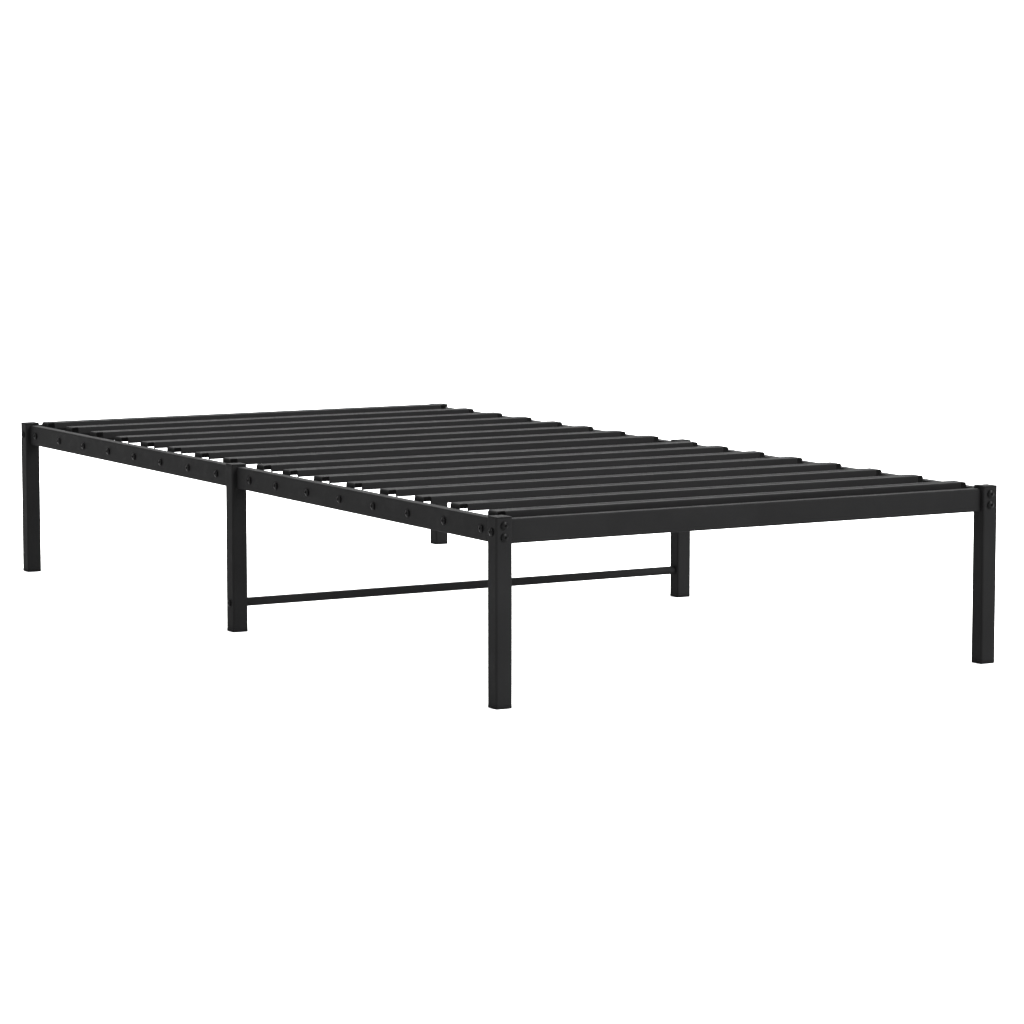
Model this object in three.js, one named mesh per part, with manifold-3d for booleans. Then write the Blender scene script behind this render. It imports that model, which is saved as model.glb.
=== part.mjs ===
// Metal platform bed frame for a single mattress, bolted together from steel tube and sheet.
// Millimetres. +X runs across the bed, +Y towards the head end and +Z up. The origin is on the
// floor, in the middle of the footprint. Left and right are seen from the foot end.

import * as THREE from "three";
import { mergeVertices } from "three/addons/utils/BufferGeometryUtils.js";
import Module from "manifold-3d";

const wasm = await Module();
wasm.setup();

// Overall sizes: over the outer faces of the legs, and from the floor to the top of the slats.
const FRAME_LENGTH = 2025;
const FRAME_WIDTH = 1000;
const DECK_HEIGHT = 315;

// Between two pieces that touch.
const GAP = 0.3;

// Legs: square tube, with a plastic foot below and a plastic cap on top.
const LEG_SIZE = 30;
const LEG_WALL = 1.5;
const LEG_RADIUS = 3;
const LEG_BELOW_DECK = 3;
const MIDDLE_LEG_OFFSET = -7; // of the middle legs' centre from the middle of the length
const FOOT_THICKNESS = 5;
const FOOT_CHAMFER = 1;
const FOOT_PLUG_DEPTH = 15;
const CAP_THICKNESS = 2;
const CAP_CHAMFER = 0.6;
const CAP_TO_BOLT = 3; // from the cap's plug down to the upper end bolt
const PLUG_WALL = 2;

// Rails: round-cornered rectangular tube, closed at the corner legs by a welded plate.
const RAIL_HEIGHT = 40;
const RAIL_THICKNESS = 20;
const RAIL_WALL = 1.5;
const RAIL_RADIUS = 2.5;
const RAIL_BELOW_DECK = 8;
const SIDE_RAIL_SETBACK = 0.5; // of a rail's inner face from the legs' inner face
const END_RAIL_SETBACK = 2;
const END_PLATE = 3;

// Stubs: short tubes welded to the middle legs, over which the side rails slide.
const STUB_LENGTH = 85;
const STUB_WALL = 2;

// Slats: roll-formed channel, open side down, whose web is bent down into a bolted tab.
const SLAT_WIDTH = 38;
const SLAT_DEPTH = 12;
const SLAT_STEEL = 1.5;
const SLAT_EDGE_RADIUS = 2.5;
const SLATS_PER_HALF = 8;
const TAB_WIDTH = 30;
const TAB_BEND = 4; // outer radius of the bend between web and tab
const TAB_BELOW_BOLT = 10;
const FLANGE_RELIEF = 14; // from the tab's outer face to the end of the channel's flanges
const WELD_LAP = 6;

// Where the slats sit in each half: from the corner leg to the first, from the middle leg to the
// last, and the step between the last two. The others share what is left in equal steps.
const HEAD_HALF = { fromCorner: 30, fromMiddle: 59, lastStep: 126.5 };
const FOOT_HALF = { fromCorner: 36, fromMiddle: 55.5, lastStep: 109 };

// Tie rod: round tube between the middle legs, with a threaded insert in each end.
const TIE_ROD_DIAMETER = 16;
const TIE_ROD_WALL = 1.5;
const TIE_ROD_HEIGHT = 53.5;
const TIE_ROD_INSERT = 25;

// Bolts: domed head with a hexagon socket.
const BOLT_DIAMETER = 6;
const BOLT_CLEARANCE = 0.3; // on the radius
const BOLT_HEAD_DIAMETER = 13;
const BOLT_HEAD_HEIGHT = 4;
const BOLT_HEAD_RIM = 2;
const BOLT_SOCKET = 4; // across the flats
const BOLT_SOCKET_DEPTH = 2;
const BOLT_REACH = 9; // past the leg, into a rail's end plate
const TIE_BOLT_REACH = 16;
const END_BOLT_PITCH = 19;
const END_BOLT_LIFT = 1.5; // of the pair's middle above the middle of the rail

// Smoothness of the curved stretches.
const CORNER_STEPS = 1;
const ROUND_SIDES = 12;
const HOLE_SIDES = 8;
const DOME_STEPS = 3;

// Places worked out from the sizes above.
const LEG_X = FRAME_WIDTH / 2 - LEG_SIZE / 2;
const LEG_Y = FRAME_LENGTH / 2 - LEG_SIZE / 2;
const LEG_TOP = DECK_HEIGHT - LEG_BELOW_DECK;
const TUBE_BOTTOM = FOOT_THICKNESS + GAP;
const TUBE_TOP = LEG_TOP - CAP_THICKNESS - GAP;
const RAIL_Z = DECK_HEIGHT - RAIL_BELOW_DECK - RAIL_HEIGHT / 2;
const SIDE_RAIL_X = FRAME_WIDTH / 2 - LEG_SIZE + SIDE_RAIL_SETBACK + RAIL_THICKNESS / 2;
const END_RAIL_Y = FRAME_LENGTH / 2 - LEG_SIZE + END_RAIL_SETBACK + RAIL_THICKNESS / 2;
const END_BOLT_MIDDLE = RAIL_Z + END_BOLT_LIFT;
const END_BOLT_Z = {
  upper: END_BOLT_MIDDLE + END_BOLT_PITCH / 2,
  lower: END_BOLT_MIDDLE - END_BOLT_PITCH / 2,
};
const HOLE_RADIUS = BOLT_DIAMETER / 2 + BOLT_CLEARANCE;
const SIDES = { left: -1, right: 1 };
const ENDS = { foot: -1, head: 1 };

// Finishes.
const powderCoat = new THREE.MeshStandardMaterial({ color: 0x2c2c2e, roughness: 0.5, metalness: 0.2 });
const plastic = new THREE.MeshStandardMaterial({ color: 0x1c1c1d, roughness: 0.65, metalness: 0 });
const blackSteel = new THREE.MeshStandardMaterial({ color: 0x262628, roughness: 0.38, metalness: 0.7 });

// Closed mesh to solid and back, for the cuts and joins.
function solidOf(geometry) {
  const bare = geometry.clone().deleteAttribute("normal").deleteAttribute("uv");
  const merged = mergeVertices(bare, 1e-4);
  return new wasm.Manifold(
    new wasm.Mesh({
      numProp: 3,
      vertProperties: merged.getAttribute("position").array,
      triVerts: new Uint32Array(merged.index.array),
    }),
  );
}

function geometryOf(solid) {
  const { vertProperties, triVerts } = solid.getMesh();
  const indexed = new THREE.BufferGeometry();
  indexed.setAttribute("position", new THREE.BufferAttribute(vertProperties, 3));
  indexed.setIndex(new THREE.BufferAttribute(triVerts, 1));
  const flat = indexed.toNonIndexed();
  flat.computeVertexNormals();
  return flat;
}

function join(geometries) {
  return geometryOf(geometries.map(solidOf).reduce((all, one) => all.add(one)));
}

function cut(geometry, tools) {
  return geometryOf(tools.map(solidOf).reduce((left, tool) => left.subtract(tool), solidOf(geometry)));
}

// Rectangle with rounded corners, centred on the origin.
function traceRectangle(path, width, height, radius) {
  const x = width / 2 - radius;
  const y = height / 2 - radius;
  path.absarc(x, y, radius, 0, Math.PI / 2);
  path.absarc(-x, y, radius, Math.PI / 2, Math.PI);
  path.absarc(-x, -y, radius, Math.PI, 1.5 * Math.PI);
  path.absarc(x, -y, radius, 1.5 * Math.PI, 2 * Math.PI);
  path.closePath();
  return path;
}

// Bar of rounded section along +Z from z = 0.
function bar(width, height, radius, length) {
  const section = traceRectangle(new THREE.Shape(), width, height, radius);
  return new THREE.ExtrudeGeometry(section, {
    depth: length,
    bevelEnabled: false,
    curveSegments: CORNER_STEPS,
  });
}

// Plate like a short bar, with both its outlines chamfered.
function chamferedPlate(size, radius, thickness, chamfer) {
  const outline = traceRectangle(new THREE.Shape(), size, size, radius);
  const plate = new THREE.ExtrudeGeometry(outline, {
    depth: thickness - 2 * chamfer,
    bevelThickness: chamfer,
    bevelSize: chamfer,
    bevelOffset: -chamfer,
    bevelSegments: 1,
    curveSegments: CORNER_STEPS,
  });
  return plate.translate(0, 0, chamfer);
}

// Tube of rounded section along +Z from z = 0, open at both ends.
function tube(width, height, radius, wall, length) {
  const section = traceRectangle(new THREE.Shape(), width, height, radius);
  const innerRadius = Math.max(radius - wall, wall / 3);
  const bore = traceRectangle(new THREE.Path(), width - 2 * wall, height - 2 * wall, innerRadius);
  section.holes.push(bore);
  return new THREE.ExtrudeGeometry(section, {
    depth: length,
    bevelEnabled: false,
    curveSegments: CORNER_STEPS,
  });
}

// Drills for bolt holes, centred at a point and running along X or along Y. The flats of a drill
// lie at the hole's radius.
function drillY(length, x, y, z) {
  const corner = HOLE_RADIUS / Math.cos(Math.PI / HOLE_SIDES);
  return new THREE.CylinderGeometry(corner, corner, length, HOLE_SIDES).translate(x, y, z);
}

function drillX(length, x, y, z) {
  return drillY(length, 0, 0, 0).rotateZ(Math.PI / 2).translate(x, y, z);
}

// Leg tube about the leg's own axis, standing on its foot.
function legTube() {
  const length = TUBE_TOP - TUBE_BOTTOM;
  return tube(LEG_SIZE, LEG_SIZE, LEG_RADIUS, LEG_WALL, length).translate(0, 0, TUBE_BOTTOM);
}

const LEG_DRILL = LEG_SIZE + 2;

function cornerLeg() {
  const holes = [drillX(LEG_DRILL, 0, 0, RAIL_Z)];
  for (const z of Object.values(END_BOLT_Z)) holes.push(drillY(LEG_DRILL, 0, 0, z));
  return cut(legTube(), holes);
}

// Where the slats of one half sit along the bed, from the corner leg to the middle leg.
function slatPlaces(half, end) {
  const cornerFace = end * (FRAME_LENGTH / 2 - LEG_SIZE);
  const middleFace = MIDDLE_LEG_OFFSET + (end * LEG_SIZE) / 2;
  const first = cornerFace - end * half.fromCorner;
  const last = middleFace + end * half.fromMiddle;
  const step = (last + end * half.lastStep - first) / (SLATS_PER_HALF - 2);
  const places = [];
  for (let i = 0; i < SLATS_PER_HALF - 1; i += 1) places.push(first + i * step);
  places.push(last);
  return places;
}

const SLAT_PLACES = { head: slatPlaces(HEAD_HALF, ENDS.head), foot: slatPlaces(FOOT_HALF, ENDS.foot) };

// Middle leg with its two welded stubs, drilled for the tie rod and for the nearest slats.
function middleLeg(side) {
  const stubX = side * (SIDE_RAIL_X - LEG_X);
  const slack = 2 * (RAIL_WALL + GAP);
  const stubThickness = RAIL_THICKNESS - slack;
  const stubHeight = RAIL_HEIGHT - slack;
  const pieces = [legTube()];
  const holes = [drillX(LEG_DRILL, 0, 0, TIE_ROD_HEIGHT)];
  for (const [name, end] of Object.entries(ENDS)) {
    const stub = tube(stubThickness, stubHeight, RAIL_RADIUS - RAIL_WALL + GAP, STUB_WALL, STUB_LENGTH);
    stub.translate(0, 0, LEG_SIZE / 2 - LEG_WALL / 2);
    stub.rotateX((-end * Math.PI) / 2);
    pieces.push(stub.translate(stubX, 0, RAIL_Z));
    const boltY = SLAT_PLACES[name].at(-1) - MIDDLE_LEG_OFFSET;
    holes.push(drillX(RAIL_THICKNESS, stubX, boltY, RAIL_Z));
  }
  return cut(join(pieces), holes);
}

// Hollow plug that slides into the leg tube, along +Z from z = 0.
function legPlug(depth) {
  const size = LEG_SIZE - 2 * (LEG_WALL + GAP);
  const radius = Math.max(LEG_RADIUS - LEG_WALL, LEG_WALL / 3);
  return tube(size, size, radius, PLUG_WALL, depth);
}

function legFoot() {
  const flange = chamferedPlate(LEG_SIZE, LEG_RADIUS, FOOT_THICKNESS, FOOT_CHAMFER);
  const sunk = FOOT_THICKNESS / 2;
  const plug = legPlug(FOOT_PLUG_DEPTH + sunk).translate(0, 0, FOOT_THICKNESS - sunk);
  return join([flange, plug]);
}

function legCap() {
  const flange = chamferedPlate(LEG_SIZE, LEG_RADIUS, CAP_THICKNESS, CAP_CHAMFER);
  flange.translate(0, 0, LEG_TOP - CAP_THICKNESS);
  const plugTop = LEG_TOP - CAP_THICKNESS / 2;
  const plugBottom = END_BOLT_Z.upper + BOLT_DIAMETER / 2 + CAP_TO_BOLT;
  const plug = legPlug(plugTop - plugBottom).translate(0, 0, plugBottom);
  return join([flange, plug]);
}

// Rail along Y, centred on the origin. Each end in plateEnds is closed by a welded plate.
function rail(length, plateEnds) {
  const body = tube(RAIL_THICKNESS, RAIL_HEIGHT, RAIL_RADIUS, RAIL_WALL, length);
  const pieces = [body.translate(0, 0, -length / 2)];
  for (const end of plateEnds) {
    const plate = bar(
      RAIL_THICKNESS - RAIL_WALL,
      RAIL_HEIGHT - RAIL_WALL,
      RAIL_RADIUS - RAIL_WALL / 2,
      END_PLATE,
    );
    const middle = (-end * (length - END_PLATE)) / 2;
    pieces.push(plate.translate(0, 0, middle - END_PLATE / 2));
  }
  return join(pieces).rotateX(Math.PI / 2);
}

// Side rail of one half, about its own middle, drilled for the slats and for the corner leg.
function sideRail(side, name) {
  const end = ENDS[name];
  const { length, middle } = sideRailSpan(end);
  const holes = SLAT_PLACES[name].map((y) => drillX(RAIL_THICKNESS + 2, 0, y - middle, 0));
  const boltX = side * (LEG_X - SIDE_RAIL_X);
  const cornerY = (end * length) / 2;
  for (const z of Object.values(END_BOLT_Z)) {
    holes.push(drillY(2 * (BOLT_REACH + GAP), boltX, cornerY, z - RAIL_Z));
  }
  return cut(rail(length, [end]), holes);
}

function sideRailSpan(end) {
  const cornerFace = end * (FRAME_LENGTH / 2 - LEG_SIZE - GAP);
  const middleFace = MIDDLE_LEG_OFFSET + end * (LEG_SIZE / 2 + GAP);
  return { length: Math.abs(cornerFace - middleFace), middle: (cornerFace + middleFace) / 2 };
}

// End rail along X, about its own middle, drilled for one bolt at each leg.
function endRail(end) {
  const length = FRAME_WIDTH - 2 * LEG_SIZE - 2 * GAP;
  const boltY = end * (LEG_Y - END_RAIL_Y);
  const body = rail(length, [-1, 1]).rotateZ(Math.PI / 2);
  const holes = Object.values(SIDES).map((side) =>
    drillX(2 * (BOLT_REACH + GAP), (side * length) / 2, boltY, 0),
  );
  return cut(body, holes);
}

// Slat along X, about its own middle, at its true height.
const SLAT_LENGTH = 2 * (SIDE_RAIL_X - RAIL_THICKNESS / 2 - GAP);

function slatChannel() {
  const half = SLAT_WIDTH / 2;
  const low = -SLAT_DEPTH;
  const steel = SLAT_STEEL;
  const outer = SLAT_EDGE_RADIUS;
  const inner = SLAT_EDGE_RADIUS - SLAT_STEEL;
  const section = new THREE.Shape();
  section.moveTo(half, low);
  section.absarc(half - outer, -outer, outer, 0, Math.PI / 2);
  section.absarc(outer - half, -outer, outer, Math.PI / 2, Math.PI);
  section.lineTo(-half, low);
  section.lineTo(steel - half, low);
  section.absarc(outer - half, -outer, inner, Math.PI, Math.PI / 2, true);
  section.absarc(half - outer, -outer, inner, Math.PI / 2, 0, true);
  section.lineTo(half - steel, low);
  section.closePath();
  const length = SLAT_LENGTH - 2 * FLANGE_RELIEF;
  const channel = new THREE.ExtrudeGeometry(section, {
    depth: length,
    bevelEnabled: false,
    curveSegments: CORNER_STEPS,
  });
  channel.translate(0, 0, -length / 2).rotateX(Math.PI / 2).rotateZ(Math.PI / 2);
  return channel.translate(0, 0, DECK_HEIGHT);
}

function slatTab(side) {
  const face = SLAT_LENGTH / 2;
  const start = face - FLANGE_RELIEF - WELD_LAP;
  const bottom = RAIL_Z - TAB_BELOW_BOLT;
  const bendX = face - TAB_BEND;
  const bendZ = DECK_HEIGHT - TAB_BEND;
  const profile = new THREE.Shape();
  profile.moveTo(face - SLAT_STEEL, bottom);
  profile.lineTo(face, bottom);
  profile.absarc(bendX, bendZ, TAB_BEND, 0, Math.PI / 2);
  profile.lineTo(start, DECK_HEIGHT);
  profile.lineTo(start, DECK_HEIGHT - SLAT_STEEL);
  profile.absarc(bendX, bendZ, TAB_BEND - SLAT_STEEL, Math.PI / 2, 0, true);
  profile.closePath();
  const tab = new THREE.ExtrudeGeometry(profile, {
    depth: TAB_WIDTH,
    bevelEnabled: false,
    curveSegments: 2 * CORNER_STEPS,
  });
  tab.translate(0, 0, -TAB_WIDTH / 2).rotateX(Math.PI / 2);
  return side > 0 ? tab : tab.rotateZ(Math.PI);
}

function slat() {
  const body = join([slatChannel(), slatTab(SIDES.left), slatTab(SIDES.right)]);
  return cut(body, [drillX(SLAT_LENGTH + 2, 0, 0, RAIL_Z)]);
}

// Tie rod along X, about its own middle.
function tieRod() {
  const end = LEG_X - LEG_SIZE / 2 - GAP;
  const shoulder = end - TIE_ROD_INSERT;
  const outer = TIE_ROD_DIAMETER / 2;
  const bore = outer - TIE_ROD_WALL;
  const profile = [
    [outer, -end],
    [outer, end],
    [HOLE_RADIUS, end],
    [HOLE_RADIUS, shoulder],
    [bore, shoulder],
    [bore, -shoulder],
    [HOLE_RADIUS, -shoulder],
    [HOLE_RADIUS, -end],
    [outer, -end],
  ].map(([r, along]) => new THREE.Vector2(r, along));
  return new THREE.LatheGeometry(profile, ROUND_SIDES + 4).rotateZ(Math.PI / 2);
}

// Bolt along Z: the head stands up from z = 0 and the shank hangs below it.
function bolt(length) {
  const rim = BOLT_HEAD_DIAMETER / 2;
  const rise = BOLT_HEAD_HEIGHT - BOLT_HEAD_RIM;
  const domeRadius = (rim * rim + rise * rise) / (2 * rise);
  const widest = Math.asin(rim / domeRadius);
  const profile = [
    new THREE.Vector2(0, -length),
    new THREE.Vector2(BOLT_DIAMETER / 2, -length),
    new THREE.Vector2(BOLT_DIAMETER / 2, 0),
    new THREE.Vector2(rim, 0),
  ];
  for (let i = 0; i < DOME_STEPS; i += 1) {
    const angle = widest * (1 - i / DOME_STEPS);
    const up = BOLT_HEAD_HEIGHT - domeRadius * (1 - Math.cos(angle));
    profile.push(new THREE.Vector2(domeRadius * Math.sin(angle), up));
  }
  profile.push(new THREE.Vector2(0, BOLT_HEAD_HEIGHT));
  const body = new THREE.LatheGeometry(profile, ROUND_SIDES);
  const corner = BOLT_SOCKET / Math.sqrt(3);
  const socket = new THREE.CylinderGeometry(corner, corner, 2 * BOLT_SOCKET_DEPTH, 6);
  socket.translate(0, BOLT_HEAD_HEIGHT, 0);
  return cut(body, [socket]).rotateX(Math.PI / 2);
}

// Scene graph.
const bedFrame = new THREE.Group();

function place(parent, name, geometry, material, x = 0, y = 0, z = 0) {
  const mesh = new THREE.Mesh(geometry, material);
  mesh.name = name;
  mesh.position.set(x, y, z);
  parent.add(mesh);
  return mesh;
}

// Bolt in a leg whose group stands on the leg's axis. Its head is on the face named by outward.
function placeBolt(leg, name, geometry, outward, z) {
  const toFace = LEG_SIZE / 2 + GAP;
  const mesh = place(leg, name, geometry, blackSteel, outward.x * toFace, outward.y * toFace, z);
  mesh.quaternion.setFromUnitVectors(new THREE.Vector3(0, 0, 1), outward);
}

function legGroup(name, x, y, tubeGeometry) {
  const leg = new THREE.Group();
  leg.position.set(x, y, 0);
  place(leg, `leg_tube_${name}`, tubeGeometry, powderCoat);
  place(leg, `foot_plug_${name}`, legFoot(), plastic);
  place(leg, `leg_cap_${name}`, legCap(), plastic);
  bedFrame.add(leg);
  return leg;
}

const cornerBolt = bolt(LEG_SIZE + BOLT_REACH);
const tieBolt = bolt(LEG_SIZE + TIE_BOLT_REACH);

for (const [sideName, side] of Object.entries(SIDES)) {
  const sideways = new THREE.Vector3(side, 0, 0);
  for (const [endName, end] of Object.entries(ENDS)) {
    const corner = `${endName}_${sideName}`;
    const lengthways = new THREE.Vector3(0, end, 0);
    const leg = legGroup(corner, side * LEG_X, end * LEG_Y, cornerLeg());
    placeBolt(leg, `bolt_${corner}_side`, cornerBolt, sideways, RAIL_Z);
    for (const [level, z] of Object.entries(END_BOLT_Z)) {
      placeBolt(leg, `bolt_${corner}_${level}`, cornerBolt, lengthways, z);
    }
    const { middle } = sideRailSpan(end);
    const railGeometry = sideRail(side, endName);
    place(bedFrame, `side_rail_${corner}`, railGeometry, powderCoat, side * SIDE_RAIL_X, middle, RAIL_Z);
  }
  const leg = legGroup(`middle_${sideName}`, side * LEG_X, MIDDLE_LEG_OFFSET, middleLeg(side));
  placeBolt(leg, `bolt_middle_${sideName}`, tieBolt, sideways, TIE_ROD_HEIGHT);
}

for (const [endName, end] of Object.entries(ENDS)) {
  place(bedFrame, `end_rail_${endName}`, endRail(end), powderCoat, 0, end * END_RAIL_Y, RAIL_Z);
}

place(bedFrame, "tie_rod", tieRod(), powderCoat, 0, MIDDLE_LEG_OFFSET, TIE_ROD_HEIGHT);

const slatGeometry = slat();
const fromFoot = [...SLAT_PLACES.foot, ...SLAT_PLACES.head].sort((a, b) => a - b);
fromFoot.forEach((y, i) => {
  place(bedFrame, `slat_${String(i + 1).padStart(2, "0")}`, slatGeometry, powderCoat, 0, y);
});

export default bedFrame;
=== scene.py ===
# %% [markdown]
# # Finishing a metal bed frame
# The frame is bolted together from powder-coated steel: square legs, rectangular rails, a deck
# of pressed slats and a round tie rod between the middle legs. The tubes are already right in
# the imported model, so they only need a finish. The bolts, slats, feet and caps are small formed
# pieces whose rounded edges catch the light, so they are modelled again here in a finer mesh.

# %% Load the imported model
import math

import bmesh
import bpy
from mathutils import Matrix, Vector


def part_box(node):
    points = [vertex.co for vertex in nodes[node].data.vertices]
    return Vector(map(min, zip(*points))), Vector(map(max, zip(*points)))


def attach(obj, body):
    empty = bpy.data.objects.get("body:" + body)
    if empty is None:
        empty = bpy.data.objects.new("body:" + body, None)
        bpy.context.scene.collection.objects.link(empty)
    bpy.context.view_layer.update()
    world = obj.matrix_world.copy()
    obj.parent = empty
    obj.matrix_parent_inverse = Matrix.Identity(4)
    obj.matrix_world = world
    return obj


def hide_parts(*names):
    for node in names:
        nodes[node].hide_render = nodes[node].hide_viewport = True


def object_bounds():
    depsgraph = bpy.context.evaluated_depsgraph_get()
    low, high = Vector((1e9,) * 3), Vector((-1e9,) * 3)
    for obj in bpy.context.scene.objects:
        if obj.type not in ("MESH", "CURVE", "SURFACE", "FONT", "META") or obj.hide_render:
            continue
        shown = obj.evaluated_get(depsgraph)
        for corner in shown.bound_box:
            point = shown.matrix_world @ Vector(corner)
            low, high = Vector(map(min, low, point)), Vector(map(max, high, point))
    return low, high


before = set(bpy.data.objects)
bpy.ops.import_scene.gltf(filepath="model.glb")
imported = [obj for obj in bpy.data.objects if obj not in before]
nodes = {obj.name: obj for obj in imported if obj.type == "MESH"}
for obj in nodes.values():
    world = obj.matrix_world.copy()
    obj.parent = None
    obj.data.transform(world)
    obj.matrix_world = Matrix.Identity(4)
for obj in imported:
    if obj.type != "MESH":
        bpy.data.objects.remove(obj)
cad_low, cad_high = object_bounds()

scene = bpy.context.scene
MM = 0.001
print(len(nodes), "nodes, box", [round(s, 4) for s in cad_high - cad_low], "m")

# %% [markdown]
# ## The camera
# A long lens from across the room keeps a long, low object from bending towards the eye. The
# camera stands beyond the left corner of the foot end, about at desk height, so both the side
# with its row of bolts and the foot rail show. A shifted lens would keep the legs exactly
# upright, but every other view would inherit the shift, so the camera tips down a little.

# %% Camera
STAND_OFF = 6.843
STAND_ANGLE = math.radians(28.865)
EYE_HEIGHT = 0.9616
AIM_ANGLE = math.radians(29.628)
TIP_DOWN = math.radians(6.397)
LENS_MM = 126.28
SENSOR_MM = 36
VIEW_END = 200.0

centre = (cad_low + cad_high) / 2
eye = Vector((
    centre.x - STAND_OFF * math.sin(STAND_ANGLE),
    centre.y - STAND_OFF * math.cos(STAND_ANGLE),
    EYE_HEIGHT))
camera_data = bpy.data.cameras.new("room_camera")
camera_data.lens = LENS_MM
camera_data.sensor_width = SENSOR_MM
camera_data.clip_end = VIEW_END
camera = bpy.data.objects.new("room_camera", camera_data)
camera.location = eye
camera.rotation_euler = (math.pi / 2 - TIP_DOWN, 0, -AIM_ANGLE)
scene.collection.objects.link(camera)
scene.camera = camera
print("camera", [round(v, 3) for v in eye], "m")

# %% [markdown]
# ## Room and light
# A black object reads by its edges and by faint differences between its faces. So the room is a
# plain pale one: a white floor and a white surround that fills every shadow. One big lamp could
# light the front, but it would leave the back of the frame a flat black shape. So broad, soft
# lamps stand all round: the strongest beyond the foot end, and weaker ones to the left and behind.
# A gamma a little under one then deepens the blacks without greying the floor.

# %% Floor and surround
FLOOR_HALF = 40.0
FLOOR_DROP = 0.2 * MM
FLOOR_GREY = 0.93
SURROUND_STRENGTH = 1.15
DEEPER_BLACKS = 0.8


def finished_mesh(bm, name, smooth_angle=None):
    """Writes a bmesh to a new object at the origin. Edges flatter than the angle shade smooth."""
    mesh = bpy.data.meshes.new(name)
    if smooth_angle is not None:
        for face in bm.faces:
            face.smooth = True
        for edge in bm.edges:
            edge.smooth = len(edge.link_faces) == 2 and edge.calc_face_angle() < smooth_angle
    bm.to_mesh(mesh)
    bm.free()
    piece = bpy.data.objects.new(name, mesh)
    scene.collection.objects.link(piece)
    return piece


bm = bmesh.new()
bmesh.ops.create_grid(bm, x_segments=1, y_segments=1, size=FLOOR_HALF)
bmesh.ops.translate(bm, verts=bm.verts, vec=(0, 0, cad_low.z - FLOOR_DROP))
floor = finished_mesh(bm, "floor")

floor_paint = bpy.data.materials.new("floor_paint")
floor_paint.use_nodes = True
floor_shader = floor_paint.node_tree.nodes["Principled BSDF"]
floor_shader.inputs["Base Color"].default_value = (FLOOR_GREY, FLOOR_GREY, FLOOR_GREY, 1)
floor_shader.inputs["Roughness"].default_value = 0.9
floor_shader.inputs["Specular IOR Level"].default_value = 0.1
floor.data.materials.append(floor_paint)

world = bpy.data.worlds.new("pale_surround")
world.use_nodes = True
surround = world.node_tree.nodes["Background"]
surround.inputs["Color"].default_value = (1, 1, 1, 1)
surround.inputs["Strength"].default_value = SURROUND_STRENGTH
scene.world = world
scene.view_settings.view_transform = "Standard"
scene.view_settings.gamma = DEEPER_BLACKS
print("floor", 2 * FLOOR_HALF, "m wide")

# %% Soft lamps
LAMP_REACH = 6.0
LAMPS = {
    "key_lamp": {"from_angle": 140, "height_angle": 36, "strength": 6.4, "spread": 30},
    "front_lamp": {"from_angle": 160, "height_angle": 12, "strength": 2.6, "spread": 30},
    "left_lamp": {"from_angle": 290, "height_angle": 30, "strength": 2.1, "spread": 35},
    "back_lamp": {"from_angle": 25, "height_angle": 45, "strength": 4.5, "spread": 45},
}
for name, lamp in LAMPS.items():
    light = bpy.data.lights.new(name, "SUN")
    light.energy = lamp["strength"]
    light.angle = math.radians(lamp["spread"])
    turn, rise = math.radians(lamp["from_angle"]), math.radians(lamp["height_angle"])
    source_way = Vector((
        math.sin(turn) * math.cos(rise), math.cos(turn) * math.cos(rise), math.sin(rise)))
    holder = bpy.data.objects.new(name, light)
    holder.location = centre + LAMP_REACH * source_way
    holder.rotation_euler = (-source_way).to_track_quat("-Z", "Y").to_euler()
    scene.collection.objects.link(holder)
print("lamps", list(LAMPS))

# %% [markdown]
# ## Shared surface effects
# Three effects turn up in more than one finish, so each is a node group with named sockets that
# takes a place on the piece and gives back values. *Mottle* is a slow drift of tone, as from
# uneven spraying and handling. *Grain* is the fine bumpiness of a sprayed or moulded skin.
# *Edge* finds the corners: it compares the true normal with one rounded over a small radius,
# and also gives that rounded normal, so that sharp sheet edges look slightly softened by paint.


# %% Effect groups
def effect_group(name, inputs, outputs):
    """Empty shader group with float or vector sockets. inputs maps a name to (kind, value)."""
    group = bpy.data.node_groups.new(name, "ShaderNodeTree")
    for label, (kind, value) in inputs.items():
        socket = group.interface.new_socket(label, in_out="INPUT", socket_type=kind)
        if value is not None:
            socket.default_value = value
    for label, kind in outputs.items():
        group.interface.new_socket(label, in_out="OUTPUT", socket_type=kind)
    source = group.nodes.new("NodeGroupInput")
    sink = group.nodes.new("NodeGroupOutput")
    return group, source, sink


def noise(tree, vector, scale, detail, roughness=0.5):
    """Noise texture whose scale is in features per metre."""
    node = tree.nodes.new("ShaderNodeTexNoise")
    node.inputs["Detail"].default_value = detail
    node.inputs["Roughness"].default_value = roughness
    tree.links.new(vector, node.inputs["Vector"])
    if isinstance(scale, (int, float)):
        node.inputs["Scale"].default_value = scale
    else:
        tree.links.new(scale, node.inputs["Scale"])
    return node.outputs["Fac"]


def ramp(tree, value, low, high, to_low=0.0, to_high=1.0):
    """Map Range node: low..high becomes to_low..to_high, clamped."""
    node = tree.nodes.new("ShaderNodeMapRange")
    node.inputs["From Min"].default_value = low
    node.inputs["From Max"].default_value = high
    node.inputs["To Min"].default_value = to_low
    node.inputs["To Max"].default_value = to_high
    tree.links.new(value, node.inputs["Value"])
    return node.outputs["Result"]


def sum_of(tree, first, second, operation="ADD"):
    """Math node on two numbers or sockets."""
    node = tree.nodes.new("ShaderNodeMath")
    node.operation = operation
    for socket, value in zip(node.inputs, (first, second)):
        if isinstance(value, (int, float)):
            socket.default_value = value
        else:
            tree.links.new(value, socket)
    return node.outputs[0]


print("group helpers ready")

# %% [markdown]
# ### Mottle and grain
# Both could be painted pictures wrapped round each piece. Noise needs no unwrapping and keeps
# its real scale on a long rail and on a small bolt alike, so its scale is given per metre.

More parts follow.
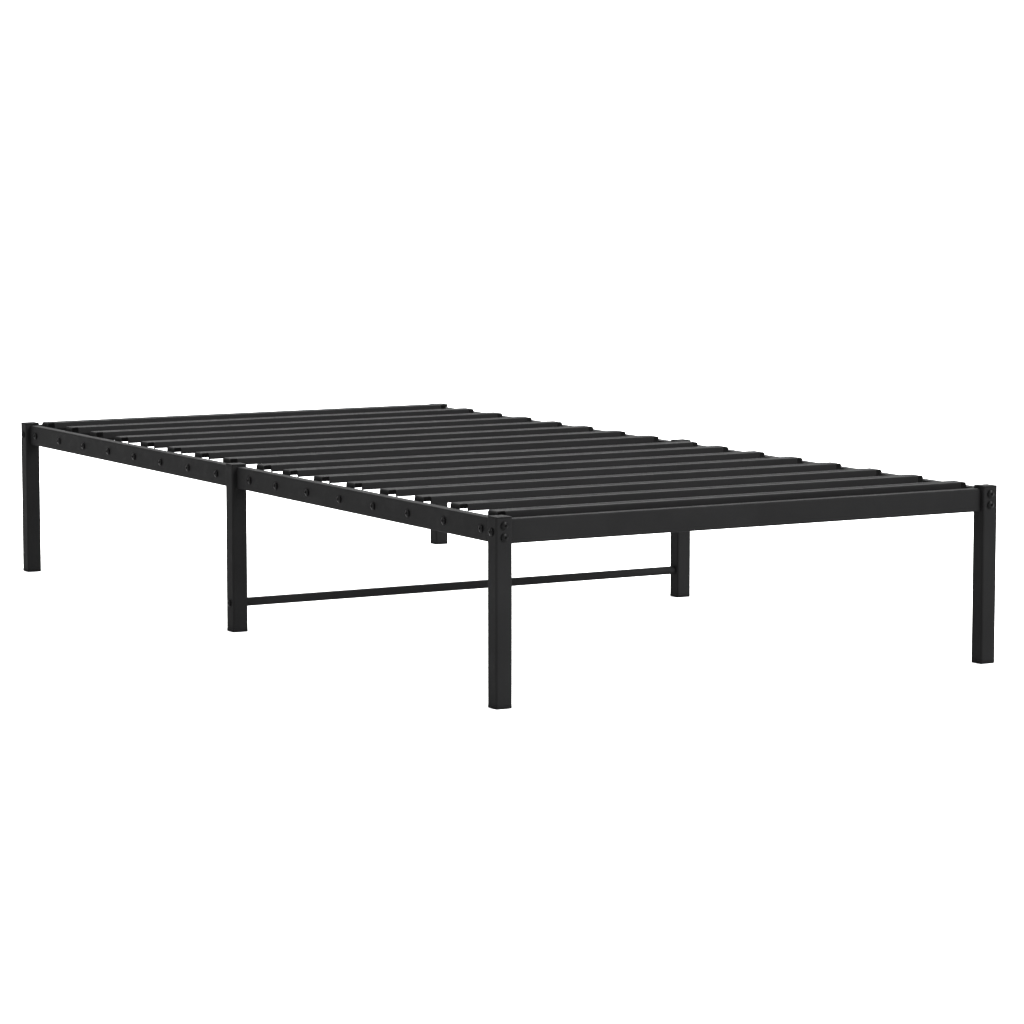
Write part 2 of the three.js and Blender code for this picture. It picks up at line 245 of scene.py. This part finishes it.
# %% Mottle and grain groups
mottle_group, source, sink = effect_group(
    "mottle",
    {"Vector": ("NodeSocketVector", None), "Patches per metre": ("NodeSocketFloat", 7.0)},
    {"Drift": "NodeSocketFloat", "Smudge": "NodeSocketFloat"},
)
slow = noise(mottle_group, source.outputs["Vector"], source.outputs["Patches per metre"], 3)
finer = sum_of(mottle_group, source.outputs["Patches per metre"], 5.5, "MULTIPLY")
quick_drift = noise(mottle_group, source.outputs["Vector"], finer, 5, 0.62)
mottle_group.links.new(ramp(mottle_group, slow, 0.3, 0.7), sink.inputs["Drift"])
mottle_group.links.new(ramp(mottle_group, quick_drift, 0.5, 0.72), sink.inputs["Smudge"])

grain_group, source, sink = effect_group(
    "grain",
    {"Vector": ("NodeSocketVector", None), "Grains per metre": ("NodeSocketFloat", 900.0)},
    {"Height": "NodeSocketFloat", "Pits": "NodeSocketFloat"},
)
grains_per_metre = source.outputs["Grains per metre"]
orange_peel = noise(grain_group, source.outputs["Vector"], grains_per_metre, 2, 0.45)
coarser = sum_of(grain_group, grains_per_metre, 0.35, "MULTIPLY")
waves = noise(grain_group, source.outputs["Vector"], coarser, 1)
skin = sum_of(grain_group, sum_of(grain_group, waves, 0.6, "MULTIPLY"), orange_peel)
grain_group.links.new(skin, sink.inputs["Height"])
grain_group.links.new(ramp(grain_group, orange_peel, 0.66, 0.76), sink.inputs["Pits"])

print("groups", mottle_group.name, "and", grain_group.name)

# %% [markdown]
# ### Edge
# Wear along edges could be a painted mask too. The Bevel node finds the corners by itself, on
# any mesh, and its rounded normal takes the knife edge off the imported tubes.

# %% Edge group
edge_group, source, sink = effect_group(
    "edge",
    {"Radius": ("NodeSocketFloat", 0.8 * MM)},
    {"Edge": "NodeSocketFloat", "Normal": "NodeSocketVector"},
)
rounded = edge_group.nodes.new("ShaderNodeBevel")
rounded.samples = 4
edge_group.links.new(source.outputs["Radius"], rounded.inputs["Radius"])
surface = edge_group.nodes.new("ShaderNodeNewGeometry")
likeness = edge_group.nodes.new("ShaderNodeVectorMath")
likeness.operation = "DOT_PRODUCT"
edge_group.links.new(rounded.outputs["Normal"], likeness.inputs[0])
edge_group.links.new(surface.outputs["Normal"], likeness.inputs[1])
edge_group.links.new(ramp(edge_group, likeness.outputs["Value"], 0.99, 0.86), sink.inputs["Edge"])
edge_group.links.new(rounded.outputs["Normal"], sink.inputs["Normal"])
print("effect groups", [g.name for g in bpy.data.node_groups])


# %% [markdown]
# ## The finishes
# Powder coat is melted plastic powder: dark, satin, slightly orange-peeled, and thinner over
# sharp edges, where it looks a touch lighter. The feet and caps are moulded with a finer skin.
# The bolts are blackened steel: smoother, so a dome shows a small highlight. One recipe with
# different amounts makes all three. It reads the piece's own coordinates, so the patterns stay
# put when the piece moves. Each recipe could also have its own nodes, but three copies of the
# same nodes would soon drift apart.


# %% Finish recipe
def mix_greys(tree, share, first, second):
    """Mixes two greys or colours by a share from 0 to 1. Each is a number or a socket."""
    node = tree.nodes.new("ShaderNodeMix")
    node.data_type = "RGBA"
    tree.links.new(share, node.inputs["Factor"])
    for label, value in (("A", first), ("B", second)):
        socket = next(s for s in node.inputs if s.name == label and s.type == "RGBA")
        if isinstance(value, (int, float)):
            socket.default_value = (value, value, value * 1.02, 1)
        else:
            tree.links.new(value, socket)
    return next(s for s in node.outputs if s.type == "RGBA")


def dark_finish(name, slot, shades, grain, gloss, edge, specular):
    """shades: (dark, light) linear grey; grain: (per metre, bump depth in m, share of pits);
    gloss: (least, most) roughness; edge: (radius in m, how far towards the edge grey, grey)."""
    material = bpy.data.materials.new(name)
    material.use_nodes = True
    tree = material.node_tree
    shader = tree.nodes["Principled BSDF"]
    shader.inputs["Specular IOR Level"].default_value = specular
    place = tree.nodes.new("ShaderNodeTexCoord").outputs["Object"]

    mottle = tree.nodes.new("ShaderNodeGroup")
    mottle.node_tree = mottle_group
    tree.links.new(place, mottle.inputs["Vector"])
    grains = tree.nodes.new("ShaderNodeGroup")
    grains.node_tree = grain_group
    grains.inputs["Grains per metre"].default_value = grain[0]
    tree.links.new(place, grains.inputs["Vector"])
    corners = tree.nodes.new("ShaderNodeGroup")
    corners.node_tree = edge_group
    corners.inputs["Radius"].default_value = edge[0]

    colour = mix_greys(tree, mottle.outputs["Drift"], shades[0], shades[1])
    pits = sum_of(tree, grains.outputs["Pits"], grain[2], "MULTIPLY")
    colour = mix_greys(tree, pits, colour, shades[0] * 0.5)
    worn = sum_of(tree, corners.outputs["Edge"], edge[1], "MULTIPLY")
    worn = sum_of(tree, worn, ramp(tree, mottle.outputs["Smudge"], 0, 1, 0.55, 1.0), "MULTIPLY")
    colour = mix_greys(tree, worn, colour, edge[2])
    tree.links.new(colour, shader.inputs["Base Color"])

    sheen = ramp(tree, mottle.outputs["Smudge"], 0, 1, gloss[1], gloss[0])
    speckle = ramp(tree, grains.outputs["Height"], 0.5, 1.1, -0.04, 0.04)
    tree.links.new(sum_of(tree, sheen, speckle), shader.inputs["Roughness"])

    bump = tree.nodes.new("ShaderNodeBump")
    bump.inputs["Distance"].default_value = grain[1]
    bump.inputs["Strength"].default_value = 0.6
    tree.links.new(grains.outputs["Height"], bump.inputs["Height"])
    tree.links.new(corners.outputs["Normal"], bump.inputs["Normal"])
    tree.links.new(bump.outputs["Normal"], shader.inputs["Normal"])
    material["slot"] = slot
    return material


# %% The three finishes
powder_coat = dark_finish(
    "powder_coat", "powder_coat", shades=(0.0086, 0.0104), grain=(950, 0.11 * MM, 0.6),
    gloss=(0.60, 0.67), edge=(0.8 * MM, 0.5, 0.020), specular=0.05)
moulded_plastic = dark_finish(
    "moulded_plastic", "plastic", shades=(0.0070, 0.0090), grain=(2200, 0.05 * MM, 0.4),
    gloss=(0.5, 0.66), edge=(0.5 * MM, 0.35, 0.016), specular=0.05)
black_steel = dark_finish(
    "black_steel", "bolt_steel", shades=(0.0042, 0.0058), grain=(1600, 0.012 * MM, 0.6),
    gloss=(0.26, 0.34), edge=(0.3 * MM, 0.5, 0.012), specular=0.065)
print("finishes", powder_coat.name, moulded_plastic.name, black_steel.name)

# %% [markdown]
# ## Finishing the tubes
# The legs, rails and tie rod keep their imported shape. Each takes its finish in place of the
# plain colour it came with.

# %% Coat the tubes
TUBES = [n for n in nodes if n.startswith(("leg_tube", "side_rail", "end_rail", "tie_rod"))]
for name in TUBES:
    mesh = nodes[name].data
    mesh.materials.clear()
    mesh.materials.append(powder_coat)
print(len(TUBES), "tubes coated")


# %% [markdown]
# ## Placing a piece
# Every made piece ends the same way: its place goes into its mesh, it takes a finish, it rides
# on the frame's one body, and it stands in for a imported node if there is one. One helper does
# that, so no piece is left behind.


# %% Placing helper
def fit(template, name, material, matrix, node=None):
    """Copies a template mesh into its place as a finished piece."""
    mesh = template.copy()
    mesh.name = name
    mesh.transform(matrix)
    mesh.materials.clear()
    mesh.materials.append(material)
    piece = bpy.data.objects.new(name, mesh)
    scene.collection.objects.link(piece)
    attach(piece, "root")
    if node is not None:
        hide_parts(node)
    return piece


def as_template(bm, name, smooth_angle=math.radians(40)):
    """Keeps the mesh of a bmesh and drops its object."""
    piece = finished_mesh(bm, name, smooth_angle)
    mesh = piece.data
    bpy.data.objects.remove(piece)
    return mesh


def facing(outward):
    """Turns a piece made along +Z so that it points along outward."""
    return Vector((0, 0, 1)).rotation_difference(Vector(outward)).to_matrix().to_4x4()


print("placing helpers ready")

# %% [markdown]
# ## Bolts
# A domed furniture bolt is forged: an upright rim under a low dome, a hexagon socket pressed
# into its crown, and a plain shank. It could be a turned profile with a boolean cut for the
# socket. Spinning the outline and bridging its open crown to a hexagon gives the same shape with
# an even mesh, and the sloping rim of the socket catches the light as the real one does.

# %% Bolt sizes and loops
HEAD_RADIUS = 6.5 * MM
HEAD_HEIGHT = 4.0 * MM
RIM_HEIGHT = 2.0 * MM
CROWN_OPENING = 0.62 * HEAD_RADIUS
SOCKET_ACROSS = 4.0 * MM
SOCKET_SET_BACK = 0.15 * MM
SOCKET_DEPTH = 2.0 * MM
SHANK_RADIUS = 3.0 * MM
SOFT_CORNER = 0.25 * MM
DOME_STEPS = 7
ROUND_STEPS = 24
CLOSE = 0.001 * MM


def chain(bm, points):
    """Vertices at the points, and the edges that join them in a row."""
    verts = [bm.verts.new(p) for p in points]
    return verts, [bm.edges.new(pair) for pair in zip(verts, verts[1:])]


def hexagon_loop(bm, across, z):
    """Hexagon with as many vertices as a round of the spin, so that the two can be bridged."""
    made = bmesh.ops.create_circle(bm, cap_ends=False, segments=6, radius=across / math.sqrt(3))
    bmesh.ops.translate(bm, verts=made["verts"], vec=(0, 0, z))
    edges = list({e for v in made["verts"] for e in v.link_edges})
    bmesh.ops.subdivide_edges(bm, edges=edges, cuts=ROUND_STEPS // 6 - 1)
    return [e for e in bm.edges if all(abs(v.co.z - z) < CLOSE for v in e.verts)]


print("bolt head", round(2 * HEAD_RADIUS / MM, 1), "by", round(HEAD_HEIGHT / MM, 1), "mm")


# %% Bolt template
def bolt_outline(length):
    """Half outline of a bolt, from the opening in its crown to the end of its shank."""
    rise = HEAD_HEIGHT - RIM_HEIGHT
    dome = (HEAD_RADIUS ** 2 + rise ** 2) / (2 * rise)
    first, last = math.asin(CROWN_OPENING / dome), math.asin(HEAD_RADIUS / dome)
    angles = [first + (last - first) * i / DOME_STEPS for i in range(DOME_STEPS + 1)]
    crown = [(dome * math.sin(a), 0, HEAD_HEIGHT - dome * (1 - math.cos(a))) for a in angles]
    return crown + [
        (HEAD_RADIUS, 0, RIM_HEIGHT / 2),
        (HEAD_RADIUS, 0, SOFT_CORNER),
        (HEAD_RADIUS - SOFT_CORNER, 0, 0),
        (SHANK_RADIUS, 0, 0),
        (SHANK_RADIUS, 0, -length + 2 * SOFT_CORNER),
        (SHANK_RADIUS - 2 * SOFT_CORNER, 0, -length),
    ]


def press_socket(bm, crown_rim):
    """Joins the round opening in the crown to a hexagon and sinks the hexagon."""
    socket = hexagon_loop(bm, SOCKET_ACROSS, HEAD_HEIGHT - SOCKET_SET_BACK)
    bmesh.ops.bridge_loops(bm, edges=crown_rim + socket)
    sunk = bmesh.ops.extrude_edge_only(bm, edges=socket)["geom"]
    low = [g for g in sunk if isinstance(g, bmesh.types.BMVert)]
    bmesh.ops.translate(bm, verts=low, vec=(0, 0, -SOCKET_DEPTH))
    bottom = [g for g in sunk if isinstance(g, bmesh.types.BMEdge) and g.is_boundary]
    bmesh.ops.holes_fill(bm, edges=bottom, sides=0)


def bolt_mesh(length, name):
    """Bolt along +Z: head above z = 0, shank below it."""
    bm = bmesh.new()
    verts, edges = chain(bm, bolt_outline(length))
    bmesh.ops.spin(
        bm, geom=verts + edges, cent=(0, 0, 0), axis=(0, 0, 1), angle=2 * math.pi,
        steps=ROUND_STEPS, use_merge=True, use_duplicate=False)
    bmesh.ops.remove_doubles(bm, verts=bm.verts, dist=CLOSE)
    rims = [e for e in bm.edges if e.is_boundary]
    tail = [e for e in rims if e.verts[0].co.z < -length / 2]
    crown_rim = [e for e in rims if e.verts[0].co.z > 0]
    bmesh.ops.holes_fill(bm, edges=tail, sides=0)
    press_socket(bm, crown_rim)
    bmesh.ops.recalc_face_normals(bm, faces=bm.faces)
    return as_template(bm, name)


print("dome rises", round((HEAD_HEIGHT - RIM_HEIGHT) / MM, 1), "mm above the rim")

# %% [markdown]
# ## Corner and tie rod bolts
# Each corner leg has two bolts through its end face and one through its side face, and each
# middle leg has one low down, into the tie rod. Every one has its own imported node, so the place
# and the length come from that node's box, and its name says which way the head faces.

# %% Corner and tie rod bolts
TURN = {"left": Vector((-1, 0, 0)), "right": Vector((1, 0, 0))}
ALONG = {"foot": Vector((0, -1, 0)), "head": Vector((0, 1, 0))}
BOLT_NODES = sorted(n for n in nodes if n.startswith("bolt_"))


def bolt_way(name):
    """The way a bolt's head faces. Upper and lower bolts face along the bed, others across it."""
    words = name.split("_")
    return ALONG[words[1]] if words[-1] in ("upper", "lower") else TURN[words[2]]


templates = {}
for name in BOLT_NODES:
    way = bolt_way(name)
    low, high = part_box(name)
    middle = (low + high) / 2
    reach = abs((high - low).dot(way))
    if reach not in templates:
        templates[reach] = bolt_mesh(reach - HEAD_HEIGHT, "corner_bolt")
    seat = middle + way * (reach / 2 - HEAD_HEIGHT)
    place = Matrix.Translation(seat) @ facing(way)
    fit(templates[reach], "fine_" + name, black_steel, place, name)
print(len(BOLT_NODES), "bolts,", len(templates), "lengths")

# %% [markdown]
# ## Slat bolts and nuts
# A bolt goes through the side rail and the slat's tab at each end of each slat, with a washer
# and a hexagon nut inside the frame. A nut could be cut from a hexagon bar with a boolean. Here
# it is a ring: an outer hexagon and an inner circle with the same number of vertices, bridged,
# raised and bevelled, and the same helper makes the washer from two circles.

# %% Nut and washer templates
NUT_ACROSS = 10.0 * MM
NUT_HEIGHT = 5.0 * MM
NUT_SOFTNESS = 0.35 * MM
WASHER_RADIUS = 6.2 * MM
WASHER_THICKNESS = 1.0 * MM
WASHER_SOFTNESS = 0.2 * MM
RING_HOLE = SHANK_RADIUS + 0.05 * MM
SHARP_ANGLE = math.radians(50)


def round_loop(bm, radius):
    made = bmesh.ops.create_circle(bm, cap_ends=False, segments=ROUND_STEPS, radius=radius)
    return list({e for v in made["verts"] for e in v.link_edges})


def ring_mesh(outer_loop, height, soften, name):
    """Ring from z = 0 to height around the bolt's hole. outer_loop(bm) makes its outline."""
    bm = bmesh.new()
    outline = outer_loop(bm)
    bmesh.ops.bridge_loops(bm, edges=outline + round_loop(bm, RING_HOLE))
    raised = bmesh.ops.extrude_face_region(bm, geom=bm.faces[:], use_keep_orig=True)
    top = [v for v in raised["geom"] if isinstance(v, bmesh.types.BMVert)]
    bmesh.ops.translate(bm, verts=top, vec=(0, 0, height))
    bmesh.ops.recalc_face_normals(bm, faces=bm.faces)
    sharp = [
        e for e in bm.edges if len(e.link_faces) == 2 and e.calc_face_angle() > SHARP_ANGLE]
    bmesh.ops.bevel(
        bm, geom=sharp, offset=soften, offset_type="OFFSET", affect="EDGES", segments=2,
        profile=0.5, material=-1, clamp_overlap=True)
    bmesh.ops.recalc_face_normals(bm, faces=bm.faces)
    return as_template(bm, name)


nut = ring_mesh(lambda bm: hexagon_loop(bm, NUT_ACROSS, 0), NUT_HEIGHT, NUT_SOFTNESS, "nut")
washer = ring_mesh(
    lambda bm: round_loop(bm, WASHER_RADIUS), WASHER_THICKNESS, WASHER_SOFTNESS, "washer")
print("nut", len(nut.polygons), "faces, washer", len(washer.polygons), "faces")

# %% [markdown]
# ## Along the rails
# The slats' packed boxes give the place of each bolt along the bed, and the side rail gives its
# height and the face that the head sits on. A tenth of a millimetre between metal faces keeps
# them from flickering where they would otherwise share a plane.

# %% Fit bolts, washers and nuts
SLATS = sorted(n for n in nodes if n.startswith("slat_"))
SEAT_GAP = 0.1 * MM
BOLT_TAIL = 2.5 * MM
SLAT_STEEL = 1.5 * MM

rail_low, rail_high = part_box("side_rail_foot_left")
bolt_z = (rail_low.z + rail_high.z) / 2
rail_face = abs(rail_low.x)
slat_low, slat_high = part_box(SLATS[0])
tab_face = slat_high.x - SLAT_STEEL
slat_bolt_length = rail_face - tab_face + WASHER_THICKNESS + NUT_HEIGHT + BOLT_TAIL
slat_bolt = bolt_mesh(slat_bolt_length, "slat_bolt")
for slat_name in SLATS:
    low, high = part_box(slat_name)
    number = slat_name.split("_")[1]
    line = Vector((0, (low.y + high.y) / 2, bolt_z))
    for side, way in TURN.items():
        outer = line + way * (rail_face + SEAT_GAP)
        inner = line + way * (tab_face - SEAT_GAP)
        nut_seat = inner - way * (WASHER_THICKNESS + SEAT_GAP)
        for template, piece_name, seat, outward in (
                (slat_bolt, "slat_bolt", outer, way),
                (washer, "slat_washer", inner, -way),
                (nut, "slat_nut", nut_seat, -way)):
            place = Matrix.Translation(seat) @ facing(outward)
            fit(template, f"{piece_name}_{side}_{number}", black_steel, place)
print(2 * len(SLATS), "slat bolts", round(slat_bolt_length / MM, 1), "mm long")

# %% [markdown]
# ## Slats
# A slat is one strip of sheet steel, roll-formed into a shallow channel with its open side down,
# with a bead pressed along its back to stiffen it. At each end the edges are notched away and
# the back is bent down into a tab for the bolt. It could be cut from a thick block, but a skin is
# easier to bend. So it starts as a box without its bottom and ends, whose long edges are rounded.

# %% Slat channel
CHANNEL_DEPTH = 12.0 * MM
EDGE_RADIUS = 2.5 * MM
RELIEF = 14.0 * MM
slat_length = slat_high.x - slat_low.x
slat_width = slat_high.y - slat_low.y
slat_top = slat_high.z
channel_end = slat_length / 2 - RELIEF


def on_back(vert):
    return vert.co.z > slat_top - CLOSE


def channel_skin():
    """Channel along X, centred in X and Y, at its true height, without thickness."""
    bm = bmesh.new()
    bmesh.ops.create_cube(bm, size=1)
    bmesh.ops.scale(bm, verts=bm.verts, vec=(2 * channel_end, slat_width, CHANNEL_DEPTH))
    bmesh.ops.translate(bm, verts=bm.verts, vec=(0, 0, slat_top - CHANNEL_DEPTH / 2))
    open_sides = [f for f in bm.faces if abs(f.normal.x) > 0.5 or f.normal.z < -0.5]
    bmesh.ops.delete(bm, geom=open_sides, context="FACES_ONLY")
    shoulders = [
        e for e in bm.edges
        if all(on_back(v) for v in e.verts) and abs(e.verts[0].co.y - e.verts[1].co.y) < CLOSE]
    bmesh.ops.bevel(
        bm, geom=shoulders, offset=EDGE_RADIUS, offset_type="OFFSET", affect="EDGES",
        segments=4, profile=0.5, material=-1)
    return bm


print("channel", round(2 * channel_end, 3), "m long,", round(slat_width / MM, 1), "mm wide")

# %% [markdown]
# ## Bead
# The press leaves a shallow groove along the middle of the back, which fades out before the
# ends. Straight cuts mark its rims, its floor and its run-out, and its floor is pushed down. The
# cuts beside it are where the tab will start.

# %% Slat bead
TAB_HALF = 15.0 * MM
BEAD_HALF = 6.0 * MM
BEAD_FLAT = 2.5 * MM
BEAD_DEPTH = 1.6 * MM
BEAD_END = 45.0 * MM
BEAD_RUN = 12.0 * MM


def slice_at(bm, point, normal):
    everything = bm.verts[:] + bm.edges[:] + bm.faces[:]
    bmesh.ops.bisect_plane(bm, geom=everything, plane_co=point, plane_no=normal)


def press_bead(bm):
    floor_end = channel_end - BEAD_END - BEAD_RUN
    for y in (TAB_HALF, BEAD_HALF, BEAD_FLAT):
        for sign in (-1, 1):
            slice_at(bm, (0, sign * y, 0), (0, 1, 0))
    for x in (channel_end - BEAD_END, floor_end):
        for sign in (-1, 1):
            slice_at(bm, (sign * x, 0, 0), (1, 0, 0))
    bead = [v for v in bm.verts if on_back(v) and abs(v.co.y) < BEAD_FLAT + CLOSE
            and abs(v.co.x) < floor_end + CLOSE]
    bmesh.ops.translate(bm, verts=bead, vec=(0, 0, -BEAD_DEPTH))


print("bead", round(BEAD_DEPTH / MM, 1), "mm deep")

# %% [markdown]
# ## Tabs
# The middle of the back runs on past the channel's end, bends down and lies flat against the
# rail. Two extrusions of the end's edges draw it out, a bevel on the crease gives the bend its
# radius, and a vertex bevel rounds the tab's lower corners.

# %% Slat tabs
TAB_BEND = 4.0 * MM
TAB_CORNER = 5.0 * MM


def draw_tab(bm, sign):
    """Draws the middle of the channel's end edge out to the rail and down past the bolt."""
    rim = [e for e in bm.edges if e.is_boundary and all(
        on_back(v) and abs(v.co.x - sign * channel_end) < CLOSE and abs(v.co.y) < TAB_HALF + CLOSE
        for v in e.verts)]
    for step in (Vector((sign * RELIEF, 0, 0)), Vector((0, 0, slat_low.z - slat_top))):
        drawn = bmesh.ops.extrude_edge_only(bm, edges=rim)["geom"]
        moved = [g for g in drawn if isinstance(g, bmesh.types.BMVert)]
        bmesh.ops.translate(bm, verts=moved, vec=step)
        rim = [g for g in drawn if isinstance(g, bmesh.types.BMEdge) and g.is_boundary]


def round_tabs(bm):
    crease = [e for e in bm.edges if all(
        on_back(v) and abs(abs(v.co.x) - slat_length / 2) < CLOSE for v in e.verts)]
    bmesh.ops.bevel(
        bm, geom=crease, offset=TAB_BEND, offset_type="OFFSET", affect="EDGES", segments=5,
        profile=0.5, material=-1)
    corners = [v for v in bm.verts if v.is_boundary and v.co.z < bolt_z
               and abs(abs(v.co.y) - TAB_HALF) < CLOSE]
    bmesh.ops.bevel(
        bm, geom=corners, offset=TAB_CORNER, offset_type="OFFSET", affect="VERTICES",
        segments=4, profile=0.5, material=-1)


def slat_skin():
    """The whole slat without thickness, its faces pointing up and out."""
    bm = channel_skin()
    press_bead(bm)
    for sign in (-1, 1):
        draw_tab(bm, sign)
    round_tabs(bm)
    bmesh.ops.remove_doubles(bm, verts=bm.verts, dist=CLOSE)
    bmesh.ops.recalc_face_normals(bm, faces=bm.faces)
    if sum(f.normal.z * f.calc_area() for f in bm.faces) < 0:
        bmesh.ops.reverse_faces(bm, faces=bm.faces)
    return bm


print("tab", round((slat_top - slat_low.z) / MM, 1), "mm tall")

# %% [markdown]
# ## Sheet thickness and holes
# The skin gets its steel thickness last, so that it is the same all over, bends included. A
# Solidify modifier does that, and a Boolean with one long drill makes the holes in both tabs at
# once. The result is kept as a plain mesh and copied to each slat's place.

# %% Slat template
HOLE_PLAY = 0.3 * MM
SMOOTH_SHEET = math.radians(35)


def with_modifiers(bm, name, *settings):
    """Runs modifiers over a bmesh and gives the finished mesh."""
    piece = finished_mesh(bm, name, SMOOTH_SHEET)
    for kind, values in settings:
        modifier = piece.modifiers.new(kind.lower(), kind)
        for key, value in values.items():
            setattr(modifier, key, value)
    bpy.context.view_layer.update()
    evaluated = piece.evaluated_get(bpy.context.evaluated_depsgraph_get())
    mesh = bpy.data.meshes.new_from_object(evaluated)
    bpy.data.objects.remove(piece)
    return mesh


bm = bmesh.new()
drill_radius = SHANK_RADIUS + HOLE_PLAY
bmesh.ops.create_cone(
    bm, cap_ends=True, segments=ROUND_STEPS, radius1=drill_radius, radius2=drill_radius,
    depth=slat_length)
turn_to_x = Matrix.Rotation(math.pi / 2, 3, "Y")
bmesh.ops.rotate(bm, verts=bm.verts, cent=(0, 0, 0), matrix=turn_to_x)
bmesh.ops.translate(bm, verts=bm.verts, vec=(0, 0, bolt_z))
drill = finished_mesh(bm, "drill")
slat_template = with_modifiers(
    slat_skin(), "slat",
    ("SOLIDIFY", {"thickness": SLAT_STEEL, "offset": -1, "use_even_offset": True}),
    ("BOOLEAN", {"object": drill, "operation": "DIFFERENCE", "solver": "EXACT"}))
bpy.data.objects.remove(drill)
for slat_name in SLATS:
    low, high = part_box(slat_name)
    place = Matrix.Translation((0, (low.y + high.y) / 2, 0))
    fit(slat_template, "fine_" + slat_name, powder_coat, place, slat_name)
print(len(SLATS), "slats of", len(slat_template.polygons), "faces")

# %% [markdown]
# ## Feet and caps
# Both are injection moulded plugs: a square flange as wide as the leg, with rounded corners and
# a soft outer edge, and a hollow stem that grips inside the tube. Two blocks and a boolean could
# make one. Insetting and drawing the faces of one bevelled block follows how the part is shaped,
# and leaves the stem hollow.

# %% Plug template
FLANGE_CORNER = 3.0 * MM
STEM_GAP = 1.8 * MM
STEM_WALL = 2.0 * MM
HOLLOW_SHARE = 0.8
SMOOTH_PLUG = math.radians(30)


def draw_face(bm, face, rise):
    """Extrudes a face straight up or down and gives back the moved face."""
    drawn = bmesh.ops.extrude_face_region(bm, geom=[face])["geom"]
    bmesh.ops.delete(bm, geom=[face], context="FACES_ONLY")
    moved = next(g for g in drawn if isinstance(g, bmesh.types.BMFace))
    bmesh.ops.translate(bm, verts=moved.verts, vec=(0, 0, rise))
    return moved


def plug_mesh(size, flange, stem, soften, name):
    """Plug standing on z = 0: flange below, hollow stem above."""
    bm = bmesh.new()
    bmesh.ops.create_cube(bm, size=1)
    bmesh.ops.scale(bm, verts=bm.verts, vec=(size, size, flange))
    bmesh.ops.translate(bm, verts=bm.verts, vec=(0, 0, flange / 2))
    uprights = [e for e in bm.edges if abs(e.verts[0].co.z - e.verts[1].co.z) > flange / 2]
    bmesh.ops.bevel(
        bm, geom=uprights, offset=FLANGE_CORNER, offset_type="OFFSET", affect="EDGES",
        segments=6, profile=0.5, material=-1)
    outer = [e for e in bm.edges if all(v.co.z < CLOSE for v in e.verts)]
    bmesh.ops.bevel(
        bm, geom=outer, offset=soften, offset_type="OFFSET", affect="EDGES", segments=4,
        profile=0.5, material=-1)
    facing_up = [f for f in bm.faces if f.normal.z > 0.9]
    top = max(facing_up, key=lambda f: f.calc_center_median().z)
    bmesh.ops.inset_region(bm, faces=[top], thickness=STEM_GAP, depth=0)
    top = draw_face(bm, top, stem)
    bmesh.ops.inset_region(bm, faces=[top], thickness=STEM_WALL, depth=0)
    draw_face(bm, top, -stem * HOLLOW_SHARE)
    bmesh.ops.recalc_face_normals(bm, faces=bm.faces)
    return as_template(bm, name, SMOOTH_PLUG)


print("plug corner", round(FLANGE_CORNER / MM, 1), "mm")

# %% [markdown]
# ## Into the legs
# A foot stands on the floor with its stem up in the tube. A cap is the same plug with a thinner
# flange, turned over, with its stem down. A fine line is left between flange and tube, as there
# is on a real leg.

# %% Fit feet and caps
TUBE_LINE = 0.3 * MM
FOOT_SOFTNESS = 1.2 * MM
CAP_SOFTNESS = 0.8 * MM
foot_low, foot_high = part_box("foot_plug_foot_left")
cap_low, cap_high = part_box("leg_cap_foot_left")
leg_low, leg_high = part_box("leg_tube_foot_left")
leg_width = leg_high.x - leg_low.x
foot_flange = leg_low.z - foot_low.z - TUBE_LINE
cap_flange = cap_high.z - leg_high.z - TUBE_LINE
foot_stem = foot_high.z - foot_low.z - foot_flange
cap_stem = cap_high.z - cap_low.z - cap_flange
foot_mesh = plug_mesh(leg_width, foot_flange, foot_stem, FOOT_SOFTNESS, "foot")
cap_mesh = plug_mesh(leg_width, cap_flange, cap_stem, CAP_SOFTNESS, "cap")
upside_down = Matrix.Rotation(math.pi, 4, "X")
PLUGS = sorted(n for n in nodes if n.startswith(("foot_plug", "leg_cap")))
for name in PLUGS:
    low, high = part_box(name)
    middle = (low + high) / 2
    if name.startswith("foot_plug"):
        plug, place = foot_mesh, Matrix.Translation((middle.x, middle.y, low.z))
    else:
        plug, place = cap_mesh, Matrix.Translation((middle.x, middle.y, high.z)) @ upside_down
    fit(plug, "fine_" + name, moulded_plastic, place, name)
print(len(PLUGS), "plugs, flanges", [round(f / MM, 2) for f in (foot_flange, cap_flange)], "mm")
